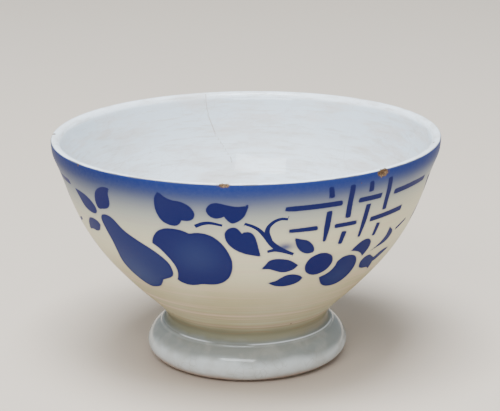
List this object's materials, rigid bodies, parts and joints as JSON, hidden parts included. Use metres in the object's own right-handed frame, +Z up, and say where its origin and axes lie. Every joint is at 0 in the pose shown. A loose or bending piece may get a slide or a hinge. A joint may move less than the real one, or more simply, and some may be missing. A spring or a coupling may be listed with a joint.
{
  "type": "footed coffee bowl",
  "caption": "Wide, deep glazed earthenware bowl on a small rounded foot ring, for drinking coffee or holding soup or cereal.",
  "frame": {"origin": "centre of the foot ring's contact circle, on the surface the bowl stands on", "axes": "+Z up along the bowl's axis, -Y towards the front of the decoration"},
  "size_m": [0.16, 0.16, 0.095],
  "materials": {
    "glaze_cream": "glossy",
    "glaze_grey": "glossy"
  },
  "bodies": {
    "root": {"bowl": "glaze_cream", "foot_ring": "glaze_grey"}
  },
  "joints": []
}
